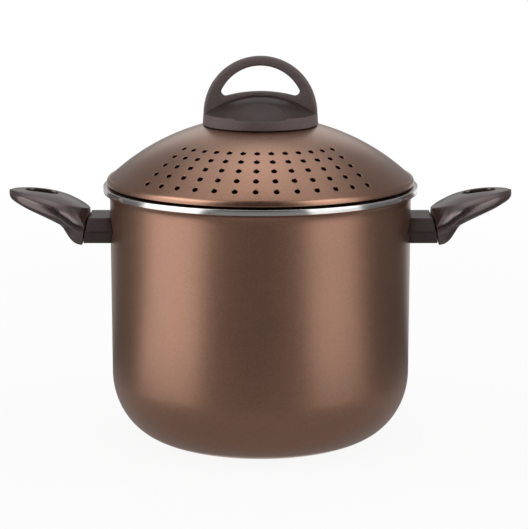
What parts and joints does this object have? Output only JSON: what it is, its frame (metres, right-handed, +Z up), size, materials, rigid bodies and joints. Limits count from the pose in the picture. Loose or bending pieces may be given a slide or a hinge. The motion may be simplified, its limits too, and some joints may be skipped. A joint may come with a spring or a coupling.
{
  "type": "pasta pot with strainer lid",
  "caption": "Tall round two-handled pot with a flanged rim and a domed lid perforated in front; its arched knob turns to lock the lid for draining.",
  "frame": {"origin": "centre of the pot's base on the surface it stands on, below the middle of the bounding box", "axes": "+Z up through the knob, +X towards the right side handle, -Y towards the perforated front of the lid"},
  "size_m": [0.376, 0.2344, 0.2861],
  "materials": {
    "bronze_body": "satin metallic non-stick coating with a polished rim edge",
    "bronze_lid": "satin metallic coating",
    "soft_touch": "matte dark brown moulded plastic",
    "steel": "stamped stainless steel",
    "screws": "turned stainless steel",
    "rivet_metal": "bright",
    "bush_plastic": "white bearing plastic",
    "insert_brass": "turned"
  },
  "bodies": {
    "pot": {"pot_body": "bronze_body", "left_neck": "soft_touch", "right_neck": "soft_touch", "left_grip": "soft_touch", "right_grip": "soft_touch", "left_bracket": "steel", "right_bracket": "steel", "left_keeper": "steel", "right_keeper": "steel", "left_rivets": "rivet_metal", "right_rivets": "rivet_metal", "left_grip_screw": "screws", "right_grip_screw": "screws"},
    "lid": {"lid_dome": "bronze_lid", "lid_bush": "bush_plastic", "wave_spring": "steel", "mechanism_cover": "steel", "cover_rivets": "rivet_metal"},
    "knob": {"knob_grip": "soft_touch", "knob_insert": "insert_brass", "knob_spindle": "steel", "cam_plate": "steel", "screw_washer": "steel", "knob_screw": "screws"},
    "left_bolt": {"left_latch": "steel", "left_cam_pin": "screws"},
    "right_bolt": {"right_latch": "steel", "right_cam_pin": "screws"}
  },
  "joints": [
    {"name": "lid_lift", "type": "slide", "parent": "pot", "child": "lid", "axis": [0, 0, 1], "range_m": [0, 0.12]},
    {"name": "knob_turn", "type": "hinge", "parent": "lid", "child": "knob", "pos_m": [0, 0, 0.24], "axis": [0, 0, -1], "range_deg": [0, 60]},
    {"name": "left_bolt_slide", "type": "slide", "parent": "lid", "child": "left_bolt", "axis": [-1, 0, 0], "range_m": [0, 0.006]},
    {"name": "right_bolt_slide", "type": "slide", "parent": "lid", "child": "right_bolt", "axis": [1, 0, 0], "range_m": [0, 0.006]}
  ],
  "couplings": [
    {"joint": "left_bolt_slide", "follows": "knob_turn", "m_per_rad": 0.0057295},
    {"joint": "right_bolt_slide", "follows": "knob_turn", "m_per_rad": 0.0057295}
  ]
}
